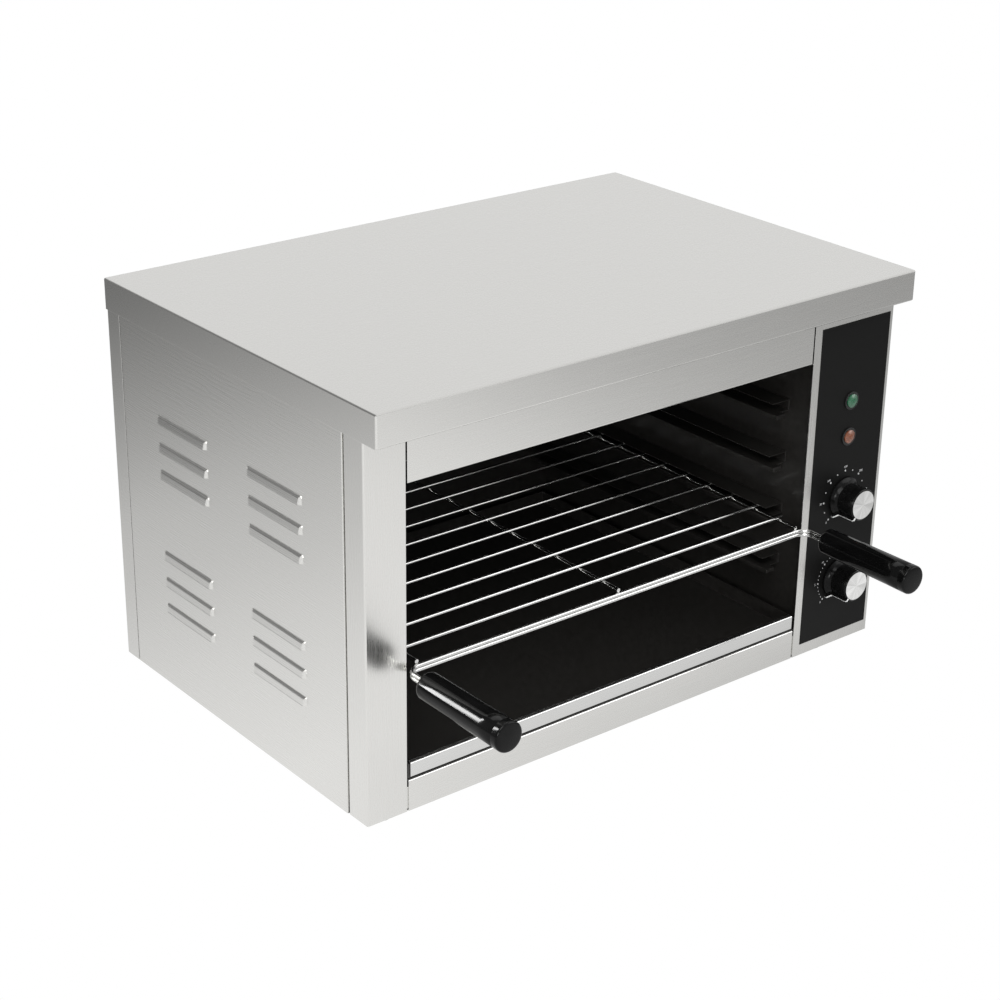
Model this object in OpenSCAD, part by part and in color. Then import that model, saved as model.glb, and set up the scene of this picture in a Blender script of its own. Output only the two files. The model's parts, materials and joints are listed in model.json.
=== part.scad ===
// Countertop electric cheese melter (salamander grill): a folded stainless casing,
// an enamelled grill chamber with top heat, a sliding wire rack and a crumb tray.
// Millimetres. +Z is up, the open front faces -Y, and +X is to the user's right.
// The origin is the bottom centre of the whole outline, so the feet stand on z = 0.

/* [Casing] */
// Width over the cover
cover_w = 582; // [540:1:660]
// Depth of the cover, front to back
cover_d = 400; // [380:1:460]
// Height from the table to the top of the cover
total_h = 380; // [375:1:430]
// Height of the cover's folded rim
cover_rim_h = 28; // [20:1:40]
// How far the cover stands out over the front
front_overhang = 19.5; // [8:0.5:22]
// Thickness of the stainless sheet
sheet = 1; // [0.8:0.1:1.4]
// Thickness of the enamelled chamber sheet
liner = 0.8; // [0.6:0.1:1.2]
// Width of the folded edges
fold_w = 12; // [8:1:16]
// Open seam between two neighbouring sheets
seam = 0.8; // [0.4:0.1:1.2]
// How far the front corner sheets wrap round onto the sides
corner_return = 26.7; // [20:0.1:36]
// How far the rear sheet wraps round onto the sides
rear_return = 21; // [14:1:30]
// Height of the feet
foot_h = 20; // [14:1:30]
// Diameter of a foot
foot_d = 26; // [22:1:36]
// Distance from the side of the casing to a foot's axis
foot_in_x = 38; // [32:1:44]
// Distance from the front or back of the casing to a foot's axis
foot_in_y = 37.5; // [28:0.5:50]

/* [Front] */
// Width of the left front post
post_w = 40; // [30:1:55]
// Width of the control column
column_w = 100; // [96:1:125]
// Height of the fascia under the opening
fascia_h = 28.3; // [20:0.1:40]
// Height from the top of the opening to the top of the cover
header_h = 72; // [60:1:80]
// Open seam at each end of the header and the fascia
front_seam = 1.5; // [0.8:0.1:2.5]

/* [Louvres] */
// Length of a louvre
louvre_l = 78; // [50:1:95]
// Height of a louvre
louvre_h = 8; // [5:0.5:11]
// How far a louvre stands out from the side
louvre_out = 2.4; // [1.4:0.1:3.5]
// Distance between louvres in a group
louvre_pitch = 25.4; // [18:0.1:30]
// Distance from the front of the casing to the middle of the front groups
louvre_front = 121.5; // [90:0.5:140]
// Distance between the front groups and the rear groups
louvre_group_step = 140; // [115:1:160]
// Distance from the top of the cover to the first louvre
louvre_top = 100; // [60:1:110]
// Distance between the upper groups and the lower groups
louvre_group_drop = 127.5; // [95:0.5:135]
// Louvres in a group
louvre_count = 3; // [1:1:4]

/* [Chamber] */
// How far the chamber wall lies behind the edge of the opening
wall_set_out = 10; // [8:0.5:14]
// Gap between the back of the chamber and the rear sheet
back_gap = 7.7; // [4:0.1:20]
// Distance from the top of the cover to the chamber roof
roof_drop = 35; // [28:1:42]
// Height of the lowest runner above the opening's lower edge
first_runner = 54.1; // [40:0.1:60]
// Height from the highest runner to the heating tubes
runner_headroom = 69.7; // [60:0.1:90]
// Runners on each wall
runner_count = 4; // [2:1:4]
// Height of a runner's turned-down lip
runner_nose = 3.7; // [2.5:0.1:5]
// Height of a runner's upper flange above the face that carries the rack
guide_h = 9.6; // [8.5:0.1:11]
// Distance from the front of the casing to the channel of a runner
runner_front = 34.5; // [24:0.5:60]
// How far the nose of a runner's lower flange stands out in front of the channel
runner_lead = 6; // [4:0.5:12]
// How far a runner reaches past the rack wire that it carries
wire_bearing = 2.5; // [2:0.5:4]

/* [Heating] */
// Diameter of a heating tube
element_d = 8; // [6.5:0.5:8.5]
// Distance between the two legs of a heating tube
element_pitch = 50; // [36:1:60]
// Distance from the chamber roof to the heating tubes
element_drop = 22; // [16:1:26]
// Distance from the front of the casing to the first leg
element_front = 70; // [50:1:90]
// Distance between the first legs of the two heating tubes
element_step = 140; // [100:1:170]
// Gap between a tube's bend and the left wall
element_end_gap = 25; // [12:1:60]
// Diameter of the temperature bulb
bulb_d = 6; // [4:0.5:8]
// Length of the temperature bulb
bulb_l = 90; // [60:1:120]

/* [Rack] */
// Runner that the rack lies on, counted from the lowest
rack_level = 1; // [0:1:1]
// Diameter of the two handle wires
frame_wire = 3.4; // [3:0.1:5]
// Diameter of the wires that run from front to back
long_wire = 3.5; // [3:0.5:4.5]
// Diameter of the wires that run across
cross_wire = 3; // [2:0.5:4]
// Distance between cross wires
cross_pitch = 30.8; // [18:0.1:40]
// Distance from the front of the casing to the first cross wire
cross_first = 19.5; // [10:0.5:30]
// Distance from the edge of the opening to the outer long wires
side_wire_in = 9; // [7:0.5:12]
// How far the cross wires stand out past the outer long wires
cross_tip = 3.5; // [2:0.5:5]
// Gap between the rack and the back of the chamber
rack_back_gap = 8.7; // [5:0.1:30]
// Radius of the bend into a grip
bend_r = 12; // [10:1:18]
// How far a grip's axis lies outside the edge of the opening
grip_set_out = 2; // [1:0.5:6]
// Distance from the front of the casing to a grip
grip_stand = 28; // [21:1:40]
// Length of a grip
grip_l = 104; // [80:1:130]
// Diameter of a grip at its rear end
grip_d = 24; // [20:1:27]
// Diameter of a grip at its front end
grip_end_d = 26; // [21:1:30]
// How deep the handle wires sit in a grip
grip_socket = 40; // [25:1:60]

/* [Crumb tray] */
// Height of the tray
tray_h = 13.4; // [10:0.1:24]
// Thickness of the tray sheet
tray_sheet = 0.8; // [0.6:0.1:1.2]
// Gap between the tray and the edge of the opening
tray_side_gap = 1.5; // [1:0.1:4]
// Gap between the tray and the back of the chamber
tray_back_gap = 9.5; // [4:0.5:30]
// How much the steel lip stops short of the tray's sides
lip_short = 2; // [1:0.5:5]
// Height of the tray's steel lip
lip_h = 12.7; // [8:0.1:20]

/* [Controls] */
// Width of the black label
label_w = 85.9; // [78:0.1:90]
// Height from the bottom of the casing to the label
label_rise = 11; // [4:1:20]
// Distance from the top of the cover to the label
label_drop = 42; // [34:1:50]
// Distance from the right edge of the casing to the label
label_in = 5.2; // [2:0.1:8]
// Thickness of the label
label_t = 0.5; // [0.3:0.1:0.8]
// Height from the bottom of the casing to the timer's axis
timer_rise = 68.4; // [58:0.1:72]
// Distance from the timer's axis to the thermostat's axis
knob_step = 81; // [76:0.1:86]
// Distance from the thermostat's axis to the heat lamp
heat_lamp_step = 59.1; // [50:0.1:64]
// Distance between the two lamps
lamp_step = 34.5; // [28:0.1:38]
// Diameter of a knob's grip
knob_d = 30; // [24:1:34]
// Diameter of a knob's skirt
knob_skirt_d = 38; // [35:1:44]
// Height of a knob
knob_h = 24; // [20:1:30]
// How far a knob's pointer stands out from its grip
pointer_out = 2.6; // [1:0.1:3]
// Diameter of a knob's metal cap
cap_d = 27; // [20:1:30]
// Thickness of a knob's metal cap
cap_t = 1.2; // [0.8:0.1:2]
// Diameter of a control spindle
spindle_d = 6; // [5:0.5:8]
// Width and height of the thermostat
thermostat_w = 36; // [34:1:44]
// Depth of the thermostat
thermostat_l = 34; // [28:1:50]
// Width and height of the timer
timer_w = 46; // [38:1:54]
// Depth of the timer
timer_l = 42; // [30:1:60]
// Diameter of a lamp's barrel
lamp_d = 14; // [10:0.5:15]
// Length of a lamp behind the front
lamp_l = 26; // [18:1:40]

/* [Rear] */
// Bore for the supply cable
cable_bore = 9.5; // [7:0.5:12]
// Thread diameter of the cable gland
gland_d = 20; // [18:1:25]
// Length of the cable gland outside the casing
gland_out = 20; // [16:1:28]
// Height from the bottom of the casing to the cable gland
gland_rise = 45; // [34:1:70]
// Diameter of the bonding stud
bond_d = 6; // [5:1:8]
// Length of the bonding stud outside the casing
bond_out = 15; // [12:1:15]

/* [Hidden] */

$fn = 64;

// Clearances and small fixed sizes
over = 1; // how far a cut runs past the face that it opens
rest_gap = 0.3; // between a moving piece and what it lies on
fit_gap = 0.05; // radial gap of a shaft or shank in its hole
slide_gap = 0.2; // between pieces that slide or lie along each other
screw_d = 4;
screw_head_d = 8;
screw_head_h = 2;
screw_l = 8; // under the head, short of the chamber's back
tab_lap = 6; // of a weld tab over each of the sheets that it joins
fascia_lip = 20; // depth of the fascia's folded edge under the chamber floor
louvre_taper = 3; // length over which each end of a louvre slopes in to the sheet
louvre_lip = 0.8; // height of its upright lower edge
louvre_lean = 0.8; // how far its face leans in towards the top
louvre_flank = 1; // height over which its top turns in to the sheet
louvre_round = 2.5; // radius of its top corners
wire_d = 2.4;
capillary_d = 2;

// Planes of the casing
grip_reach = grip_stand + grip_l;
casing_d = cover_d - front_overhang - sheet;
total_d = grip_reach + casing_d + gland_out;
front_y = grip_reach - total_d / 2;
back_y = front_y + casing_d;
cover_y = [front_y - front_overhang, back_y + sheet];
casing_x = cover_w / 2 - sheet;
strip_x = casing_x - seam;
base_z = foot_h;
floor_z = base_z + sheet;
top_z = total_h - sheet;
rim_z = total_h - cover_rim_h;
skin_y = [front_y, front_y + sheet];
backing_y = [front_y + sheet, front_y + 2 * sheet];
panel_y = [front_y + corner_return, back_y - rear_return];
corner_y = [front_y, panel_y[0] - seam];

// The opening in the front
opening_x = [post_w - casing_x, casing_x - column_w];
opening_z = [base_z + fascia_h, total_h - header_h];
opening_mid = (opening_x[0] + opening_x[1]) / 2;
opening_half = (opening_x[1] - opening_x[0]) / 2;
infill_x = [opening_x[0] + front_seam, opening_x[1] - front_seam];

// The chamber behind it
chamber_x = [opening_x[0] - wall_set_out, opening_x[1] + wall_set_out];
chamber_y = [front_y + sheet, back_y - sheet - back_gap - liner];
roof_z = total_h - roof_drop;
pan_floor_z = opening_z[0] + sheet;

// Runners and rack
runner_tip = opening_half - side_wire_in - wire_bearing;
runner_lead_w = 10; // width of the nose of a runner's lower flange
channel_y = [front_y + runner_front, chamber_y[1]];
runner_span = roof_z - element_drop - runner_headroom - opening_z[0] - first_runner;
runner_pitch = runner_span / (runner_count - 1);
runner_z = [for (i = [0 : runner_count - 1]) opening_z[0] + first_runner + i * runner_pitch];
long_z = runner_z[rack_level] + rest_gap + long_wire / 2;
upper_z = long_z - long_wire / 2 - frame_wire / 2;
lower_z = upper_z - frame_wire - slide_gap;
grip_z = (upper_z + lower_z) / 2;
bar_y = front_y - rest_gap - frame_wire / 2;
long_y = [bar_y + frame_wire / 4, chamber_y[1] - rack_back_gap];
cross_z = long_z + long_wire / 2 + cross_wire / 2;
cross_y = [for (y = [front_y + cross_first : cross_pitch : long_y[1] - cross_wire / 2]) y];
long_x = [for (side = [-1 : 1]) opening_mid + side * (opening_half - side_wire_in)];
grip_half = opening_half + grip_set_out;
grip_round = 5; // radius of a grip's rear edge
grip_end_round = 2; // radius of its front edge
grip_crown = 0.6; // how far its front face is domed

// Crumb tray
lip_fold = 5; // depth of the lip's folded top edge
tray_x = [opening_x[0] + tray_side_gap, opening_x[1] - tray_side_gap];
tray_y = [front_y + sheet + slide_gap, chamber_y[1] - tray_back_gap];
tray_z = pan_floor_z + rest_gap;
lip_x = [tray_x[0] + lip_short, tray_x[1] - lip_short];
lip_top = tray_z + tray_h + sheet;

// Controls
label_x = [casing_x - label_in - label_w, casing_x - label_in];
label_z = [base_z + label_rise, total_h - label_drop];
control_x = (label_x[0] + label_x[1]) / 2;
timer_z = base_z + timer_rise;
thermostat_z = timer_z + knob_step;
heat_lamp_z = thermostat_z + heat_lamp_step;
power_lamp_z = heat_lamp_z + lamp_step;
control_y = front_y + sheet;
boss_wall = 2.5; // round the bore of the thermostat or the timer
boss_d = spindle_d + 2 * boss_wall;
boss_hole_d = boss_d + 2 * rest_gap;
tab_l = 8; // the two connecting tabs at the rear of the thermostat and the timer
tab_w = 6;
tab_t = 0.8;
tab_half = 9; // from the spindle's axis to the middle of a tab
control_screw_half = 14;
control_screw_l = 9;
knob_gap = 0.8; // between the label and a knob
knob_y = front_y - label_t - knob_gap;
knob_top = 8; // solid front of a knob, past the end of its spindle
knob_wall = 3;
knob_hub = 3.5;
knob_hollow = 9;
skirt_h = [1.6, 3.6, 6]; // heights at which the skirt bends in towards the grip
skirt_step = 1.6;
knob_edge = 1;
pointer_w = 2;
pointer_nib = 3; // how far a pointer stands out past the knob's skirt
pointer_angle = 137.5; // from straight up, anticlockwise, with the knob at its first mark
spindle_in = 16; // of a spindle behind the front sheet
spindle_y = [knob_y - knob_h + knob_top, control_y + spindle_in];
lamp_flange_w = 1.5;
lamp_flange_t = 1.2;
lamp_flange_d = lamp_d + 2 * lamp_flange_w;
lamp_wall = 0.7;
lens_d = lamp_d - 2 * lamp_wall;
lens_y = front_y - label_t - lamp_flange_t;
lens_stem = 3; // of a lens in its holder
lens_edge = 1; // height of a lens's straight edge
lens_dome = 2; // height of the dome on it
dome_r = (lens_d * lens_d / 4 + lens_dome * lens_dome) / (2 * lens_dome);
lamp_nut = [2.5, 4]; // how far a lamp's nut stands out from the barrel, and its thickness

// Heating tubes
element_z = roof_z - element_drop;
element_bend = element_pitch / 2;
element_y = [front_y + element_front, front_y + element_front + element_step];
element_left = chamber_x[0] + element_end_gap + element_bend + element_d / 2;
element_out = 26; // of a heating tube past the chamber wall
element_end = chamber_x[1] + element_out;
pin_out = 12; // of a pin past the end of its tube
pin_end = element_end + pin_out;
pin_d = 3;
hanger_half = 118; // from the middle of the opening to a hanger
hanger_x = [opening_mid - hanger_half, opening_mid + hanger_half];
hanger_t = 1.5;
hanger_edge = 10; // of a hanger past the axis of the last tube
bush_wall = 2;
bush_flange_w = 4;
bush_flange_t = 3;
bush_out = 14; // of a bush behind the chamber wall
bush_nut = [6, 5]; // how far a bush's nut stands out from the tube, and its thickness

// Temperature bulb, on the right chamber wall
bulb_stand = 3; // gap between the bulb and the wall
bulb_drop = 24; // of the bulb below the heating tubes
bulb_front = 130; // from the front of the casing to the bulb
bulb_x = chamber_x[1] - bulb_d / 2 - bulb_stand;
bulb_z = element_z - bulb_drop;
bulb_y = [front_y + bulb_front, front_y + bulb_front + bulb_l];
bulb_exit_y = bulb_y[0] - 14;
clip_in = 12; // from each end of the bulb to its clip
clip_w = 4;
clip_wall = 2;

// Rear
gland_x = control_x - 12;
gland_z = base_z + gland_rise;
gland_hex = [2.5, 5]; // how far a gland's hexagon stands out from its thread, and its height
gland_wall = 2.5;
gland_in = 10; // of the gland's thread behind the rear sheet
gland_neck = 3; // of the thread past the hexagon, inside the cap
gland_body_y = [back_y - gland_in, back_y + gland_hex[1] + gland_neck];
gland_cap_l = gland_out - gland_hex[1];
gland_cap_top = 3; // thickness of the cap's end
gland_cap_taper = 6;
gland_cap_hole = 1; // from the cable to the hole in the cap's end
gland_seal_in = 4; // of the seal behind the rear sheet's outer face
gland_seal_gap = 0.1;
bond_side = 34; // from the gland's axis to the bonding stud
bond_x = gland_x + bond_side;
bond_rise = 26; // height of the stud above the base plate
bond_z = base_z + bond_rise;
bond_nut = [2, 5]; // how far the stud's collar and nut stand out from it, and their height
terminal_w = 56;
terminal_l = 26;
terminal_h = 20;
terminal_back = 54; // from the rear of the casing to the terminal block
terminal_pitch = 16;
terminal_hole_d = 7;
terminal_screw_d = 6.4;
terminal_x = [control_x - terminal_w / 2, control_x + terminal_w / 2];
terminal_y = [back_y - terminal_back - terminal_l, back_y - terminal_back];
terminal_mid_y = (terminal_y[0] + terminal_y[1]) / 2;
terminal_row = [-terminal_pitch, 0, terminal_pitch];

// Routes of the wires
terminal_wire_z = floor_z + terminal_h / 2;
timer_tab_y = control_y + timer_l + tab_l;
thermostat_tab_y = control_y + thermostat_l + tab_l;
thermostat_top = thermostat_z + thermostat_w / 2;
wire_bend = 10; // straight run of a wire before it turns
loom_y = timer_tab_y + 2 * wire_bend;
loom_x = control_x + 26;

// Fasteners
foot_x = casing_x - foot_in_x;
foot_y = [front_y + foot_in_y, back_y - foot_in_y];
foot_bolt_d = 5;
foot_bolt_head_h = 3;
foot_nut = [8, 4]; // width across flats and height
foot_seat_z = 8; // of the bolt's head in the foot's recess
foot_recess = 3.7; // from the bolt to the wall of the recess
foot_edge = 1.5;
foot_taper = 1;
rear_screw_half = 230;
rear_screw_x = [-rear_screw_half, 0, rear_screw_half];
rear_screw_z = base_z + 8;
cover_screw_half = 200;
cover_screw_x = [-cover_screw_half, 0, cover_screw_half];
cover_screw_z = rim_z + cover_rim_h / 2;

// A box between two corners
module block(x, y, z)
    translate([x[0], y[0], z[0]])
        cube([x[1] - x[0], y[1] - y[0], z[1] - z[0]]);

module rod_x(d, x, y, z)
    translate([x[0], y, z])
        rotate([0, 90, 0])
            cylinder(d = d, h = x[1] - x[0]);

module rod_y(d, x, y, z)
    translate([x, y[0], z])
        rotate([-90, 0, 0])
            cylinder(d = d, h = y[1] - y[0]);

module rod_z(d, x, y, z)
    translate([x, y, z[0]])
        cylinder(d = d, h = z[1] - z[0]);

// A hexagon along Y, measured across its flats
module hex_y(flats, x, y, z)
    translate([x, y[0], z])
        rotate([-90, 0, 0])
            cylinder(d = flats / cos(30), h = y[1] - y[0], $fn = 6);

function unit(v) = v / norm(v);

// Direction of a route on both sides of point i, and the plane that mitres its corner
function leg(points, i) = unit(points[i + 1] - points[i]);
function mitre(points, i) =
    i == 0 ? leg(points, 0)
    : i == len(points) - 1 ? leg(points, i - 1)
    : unit(leg(points, i - 1) + leg(points, i));

// A circle of corners square to a direction
function first_ring(at, dir, d, sides) =
    let (
        a = unit(cross(dir, abs(dir[2]) < 0.9 ? [0, 0, 1] : [1, 0, 0])),
        b = cross(dir, a)
    )
    [for (k = [0 : sides - 1]) at + d / 2 * (cos(360 * k / sides) * a + sin(360 * k / sides) * b)];

// Carries a ring along one leg of the route to the mitre plane at its end
function carry_ring(ring, at, dir, plane) =
    [for (v = ring) v + dir * ((at - v) * plane) / (dir * plane)];

function tube_rings(points, ring, i) =
    i == len(points) ? []
    : let (next = carry_ring(ring, points[i], leg(points, i - 1), mitre(points, i)))
      concat([next], tube_rings(points, next, i + 1));

// A wire or fine tube through a list of points, with mitred corners
module wire(points, d = wire_d, sides = 8) {
    start = first_ring(points[0], leg(points, 0), d, sides);
    rings = concat([start], tube_rings(points, start, 1));
    last = len(points) - 1;
    polyhedron(
        points = [for (ring = rings) each ring],
        faces = concat(
            [[for (k = [0 : sides - 1]) k]],
            [[for (k = [sides - 1 : -1 : 0]) last * sides + k]],
            [
                for (i = [0 : last - 1])
                    for (k = [0 : sides - 1])
                        each [
                            [i * sides + k, (i + 1) * sides + k, i * sides + (k + 1) % sides],
                            [
                                i * sides + (k + 1) % sides,
                                (i + 1) * sides + k,
                                (i + 1) * sides + (k + 1) % sides
                            ]
                        ]
            ]
        )
    );
}

// What lies on the other side of the opening's middle plane
module across_opening()
    translate([2 * opening_mid, 0, 0])
        mirror([1, 0, 0])
            children();

// ---------- casing ----------

module top_cover()
    color("silver")
        difference() {
            block([-cover_w / 2, cover_w / 2], cover_y, [rim_z, total_h]);
            block([-casing_x, casing_x], [cover_y[0] + sheet, back_y], [rim_z + sheet, top_z]);
            block([-casing_x, casing_x], [cover_y[0] + fold_w, back_y], [rim_z - over, top_z]);
            for (x = cover_screw_x)
                rod_y(screw_d + 2 * fit_gap, x, [back_y - over, cover_y[1] + over], cover_screw_z);
        }

module left_front_post()
    color("gainsboro")
        union() {
            block([-strip_x, opening_x[0]], skin_y, [base_z, top_z]);
            block([-strip_x, sheet - strip_x], corner_y, [base_z, top_z]);
            block([-strip_x, fold_w - strip_x], [corner_y[1] - sheet, corner_y[1]], [floor_z, top_z]);
        }

// The weld tabs of the header or the fascia, behind the post and the column
module weld_tabs(z) {
    block([opening_x[0] - tab_lap, infill_x[0] + tab_lap], backing_y, z);
    block([infill_x[1] - tab_lap, opening_x[1] + tab_lap], backing_y, z);
}

module front_header()
    color("silver")
        union() {
            block(infill_x, skin_y, [opening_z[1], top_z]);
            block(infill_x, [front_y, front_y + fold_w], [opening_z[1], opening_z[1] + sheet]);
            weld_tabs([roof_z + tab_lap, top_z - tab_lap]);
        }

module front_fascia()
    color("silver")
        union() {
            block(infill_x, skin_y, [base_z, opening_z[0]]);
            block(infill_x, [front_y, front_y + fascia_lip], [opening_z[0] - sheet, opening_z[0]]);
            weld_tabs([floor_z + sheet, opening_z[0] - tab_lap]);
        }

module control_column()
    color("silver")
        difference() {
            union() {
                block([opening_x[1], strip_x], skin_y, [base_z, top_z]);
                block([strip_x - sheet, strip_x], corner_y, [base_z, top_z]);
                block([strip_x - fold_w, strip_x], [corner_y[1] - sheet, corner_y[1]], [floor_z, top_z]);
            }
            for (z = [timer_z, thermostat_z]) {
                rod_y(boss_hole_d, control_x, [front_y - over, control_y + over], z);
                for (side = [-1, 1])
                    control_screw_shape(control_x + side * control_screw_half, z, fit_gap);
            }
            for (z = [heat_lamp_z, power_lamp_z])
                rod_y(lamp_d + 2 * fit_gap, control_x, [front_y - over, control_y + over], z);
        }

module control_label()
    color("#202124")
        difference() {
            block(label_x, [front_y - label_t, front_y], label_z);
            for (z = [timer_z, thermostat_z])
                rod_y(boss_hole_d, control_x, [front_y - label_t - over, front_y + over], z);
            for (z = [heat_lamp_z, power_lamp_z])
                rod_y(lamp_d + 2 * fit_gap, control_x, [front_y - label_t - over, front_y + over], z);
        }

// Hood of a louvre that opens downwards: inset = 0 is its outside, inset = sheet its inside
module louvre_hood(inset) {
    out = louvre_out - inset;
    high = louvre_h - inset;
    end = louvre_l / 2 - inset;
    corner = louvre_round - inset;
    intersection() {
        translate([0, louvre_l, 0])
            rotate([90, 0, 0])
                linear_extrude(2 * louvre_l)
                    polygon([
                        [0, 0], [-out, 0], [-out, louvre_lip],
                        [louvre_lean - out, high - louvre_flank], [0, high]
                    ]);
        linear_extrude(louvre_h)
            polygon([[0, -end], [-out, louvre_taper - end], [-out, end - louvre_taper], [0, end]]);
        translate([-louvre_out - over, 0, 0])
            rotate([90, 0, 90])
                linear_extrude(louvre_out + 2 * over)
                    polygon(concat(
                        [[-end, -over], [end, -over]],
                        [for (a = [0 : 30 : 90])
                            [end - corner + corner * cos(a), high - corner + corner * sin(a)]],
                        [for (a = [90 : 30 : 180])
                            [corner - end + corner * cos(a), high - corner + corner * sin(a)]]
                    ));
    }
}

// Places its child at each louvre of the left side, on the panel's outer face
module at_louvres()
    for (column = [0, 1])
        for (group = [0, 1])
            for (i = [0 : louvre_count - 1])
                translate([
                    -casing_x,
                    front_y + louvre_front + column * louvre_group_step,
                    total_h - louvre_top - louvre_h - group * louvre_group_drop - i * louvre_pitch
                ])
                    children();

module side_sheet()
    union() {
        difference() {
            union() {
                block([-casing_x, sheet - casing_x], panel_y, [base_z, top_z]);
                block([-casing_x, fold_w - casing_x], [panel_y[0], panel_y[0] + sheet], [floor_z, top_z]);
                block([-casing_x, fold_w - casing_x], [panel_y[1] - sheet, panel_y[1]], [floor_z, top_z]);
            }
            at_louvres()
                translate([-over, sheet - louvre_l / 2, 0])
                    cube([sheet + 2 * over, louvre_l - 2 * sheet, louvre_h - sheet]);
        }
        at_louvres()
            difference() {
                louvre_hood(0);
                louvre_hood(sheet);
            }
    }

module left_side_panel()
    color("silver")
        side_sheet();

module right_side_panel()
    color("silver")
        mirror([1, 0, 0])
            side_sheet();

module rear_panel()
    color("silver")
        difference() {
            union() {
                block([-casing_x, casing_x], [back_y - sheet, back_y], [base_z, top_z]);
                block([-casing_x, sheet - casing_x], [panel_y[1] + seam, back_y], [base_z, top_z]);
                block([casing_x - sheet, casing_x], [panel_y[1] + seam, back_y], [base_z, top_z]);
            }
            rod_y(gland_d + 2 * fit_gap, gland_x, [back_y - sheet - over, back_y + over], gland_z);
            rod_y(bond_d + 2 * fit_gap, bond_x, [back_y - sheet - over, back_y + over], bond_z);
            for (x = cover_screw_x)
                rod_y(screw_d + 2 * fit_gap, x, [back_y - sheet - over, back_y + over], cover_screw_z);
            for (x = rear_screw_x)
                rod_y(screw_d + 2 * fit_gap, x, [back_y - sheet - over, back_y + over], rear_screw_z);
        }

module base_plate()
    color("silver")
        difference() {
            union() {
                block([2 * sheet - casing_x, casing_x - 2 * sheet], [control_y, back_y - sheet],
                    [base_z, floor_z]);
                for (side = [0, 1])
                    mirror([side, 0, 0])
                        block([sheet - casing_x, 2 * sheet - casing_x],
                            [panel_y[0] + sheet, panel_y[1] - sheet], [base_z, base_z + fold_w]);
                block([2 * sheet - casing_x, casing_x - 2 * sheet],
                    [back_y - 2 * sheet, back_y - sheet], [base_z, rear_screw_z + tab_lap]);
            }
            for (x = [-foot_x, foot_x])
                for (y = foot_y)
                    rod_z(foot_bolt_d + 2 * fit_gap, x, y, [base_z - over, floor_z + over]);
            for (x = rear_screw_x)
                rod_y(screw_d + 2 * fit_gap, x, [back_y - 2 * sheet - over, back_y], rear_screw_z);
        }

// ---------- grill chamber ----------

module chamber_wall()
    union() {
        block([chamber_x[1], chamber_x[1] + liner], chamber_y, [floor_z, roof_z]);
        block([chamber_x[1], chamber_x[1] + fold_w],
            [chamber_y[0] + sheet, chamber_y[0] + sheet + liner], [opening_z[0], roof_z]);
        block([chamber_x[1], chamber_x[1] + fold_w], chamber_y, [floor_z, floor_z + liner]);
    }

module left_chamber_wall()
    color("#26262a")
        across_opening()
            chamber_wall();

module right_chamber_wall()
    color("#26262a")
        difference() {
            chamber_wall();
            for (first = element_y)
                for (y = [first, first + element_pitch])
                    rod_x(element_d + 2 * bush_wall + 2 * fit_gap,
                        [chamber_x[1] - over, chamber_x[1] + liner + over], y, element_z);
            rod_x(capillary_d + 2 * rest_gap, [chamber_x[1] - over, chamber_x[1] + liner + over],
                bulb_exit_y, bulb_z);
        }

module chamber_back()
    color("#26262a")
        block(chamber_x, [chamber_y[1], chamber_y[1] + liner], [floor_z, roof_z]);

module chamber_roof()
    color("#26262a")
        block([chamber_x[0] - liner, chamber_x[1] + liner], [chamber_y[0], chamber_y[1] + liner],
            [roof_z, roof_z + liner]);

module chamber_floor()
    color("#26262a")
        block(chamber_x, chamber_y, [opening_z[0], pan_floor_z]);

// Section of a runner's channel at the right wall, open towards the rack
module runner_section() {
    tip = opening_mid + runner_tip;
    wall = chamber_x[1];
    polygon([
        [tip, 0], [tip, -runner_nose], [tip + liner, -runner_nose], [tip + liner, -liner],
        [wall, -liner], [wall, guide_h], [tip, guide_h], [tip, guide_h - liner],
        [wall - liner, guide_h - liner], [wall - liner, 0]
    ]);
}

// One folded runner of the right wall, with the nose that leads the rack on to it
module runner(top) {
    nose_x = [opening_mid + runner_tip, opening_mid + runner_tip + runner_lead_w];
    nose_y = [channel_y[0] - runner_lead, channel_y[0] + liner];
    union() {
        translate([0, channel_y[1], top])
            rotate([90, 0, 0])
                linear_extrude(channel_y[1] - channel_y[0])
                    runner_section();
        difference() {
            block(nose_x, nose_y, [top - runner_nose, top]);
            block([nose_x[0] + liner, nose_x[1] - liner], [nose_y[0] + liner, nose_y[1] + over],
                [top - runner_nose - over, top - liner]);
        }
    }
}

module right_runners()
    color("#2c2c30")
        for (top = runner_z)
            runner(top);

module left_runners()
    color("#2c2c30")
        across_opening()
            for (top = runner_z)
                runner(top);

// ---------- heating ----------

module heating_tube(first)
    union() {
        for (y = [first, first + element_pitch]) {
            rod_x(element_d, [element_left, element_end], y, element_z);
            rod_x(pin_d, [element_end, pin_end], y, element_z);
        }
        translate([element_left, first + element_bend, element_z])
            rotate([0, 0, 90])
                rotate_extrude(angle = 180)
                    translate([element_bend, 0])
                        circle(d = element_d);
    }

module front_heating_tube()
    color("#4a4845")
        heating_tube(element_y[0]);

module rear_heating_tube()
    color("#4a4845")
        heating_tube(element_y[1]);

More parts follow.
